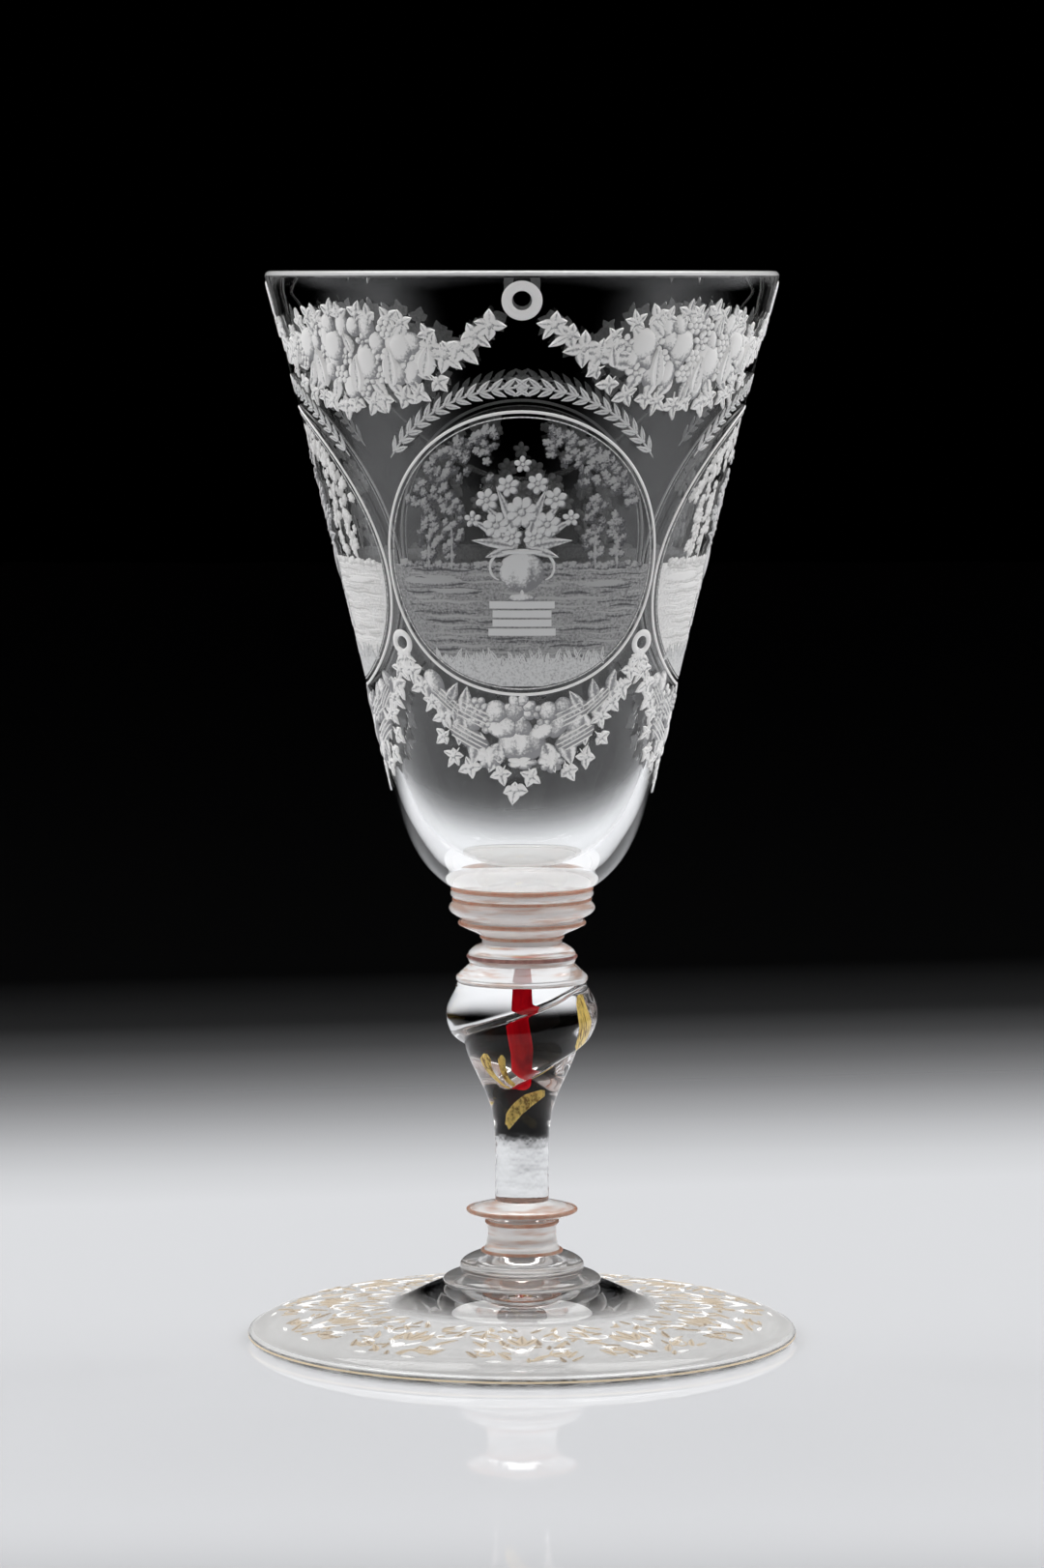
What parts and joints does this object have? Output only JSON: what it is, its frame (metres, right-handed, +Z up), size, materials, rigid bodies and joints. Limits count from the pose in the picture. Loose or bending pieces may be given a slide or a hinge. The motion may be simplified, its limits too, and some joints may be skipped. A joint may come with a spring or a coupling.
{
  "type": "pokal goblet",
  "caption": "Tall baroque drinking goblet of clear glass: flaring funnel bowl, stacked wafers with ruby threads, wrythen baluster stem holding ruby and gold, on a wide domed foot.",
  "frame": {"origin": "middle of the foot, on the surface that the goblet stands on", "axes": "+Z up along the goblet's axis; -Y is the side that the picture shows"},
  "size_m": [0.1084, 0.1084, 0.21],
  "materials": {
    "clear_glass": "fire-polished, clear, faintly grey",
    "ruby_glass": "deep red, clear",
    "gold_leaf": "wrinkled leaf under glass",
    "cut_glass": "wheel-cut, matt white"
  },
  "bodies": {
    "root": {"bowl": "clear_glass", "upper_wafer": "clear_glass", "middle_wafer": "clear_glass", "lower_wafer": "clear_glass", "waist_band": "clear_glass", "flared_collar": "clear_glass", "shoulder": "clear_glass", "baluster": "clear_glass", "ruby_ribbon": "ruby_glass", "ruby_bead": "ruby_glass", "gold_tail": "gold_leaf", "thin_disc": "clear_glass", "spool": "clear_glass", "upper_button": "clear_glass", "lower_button": "clear_glass", "foot": "clear_glass", "gold_strip_1": "gold_leaf", "gold_strip_2": "gold_leaf", "gold_strip_3": "gold_leaf", "gold_strip_4": "gold_leaf", "ruby_thread_bowl": "ruby_glass", "ruby_thread_middle": "ruby_glass", "ruby_thread_lower": "ruby_glass", "ruby_thread_waist": "ruby_glass", "ruby_thread_collar": "ruby_glass", "ruby_thread_disc": "ruby_glass", "ruby_thread_spool_top": "ruby_glass", "ruby_thread_spool_base": "ruby_glass"}
  },
  "joints": []
}
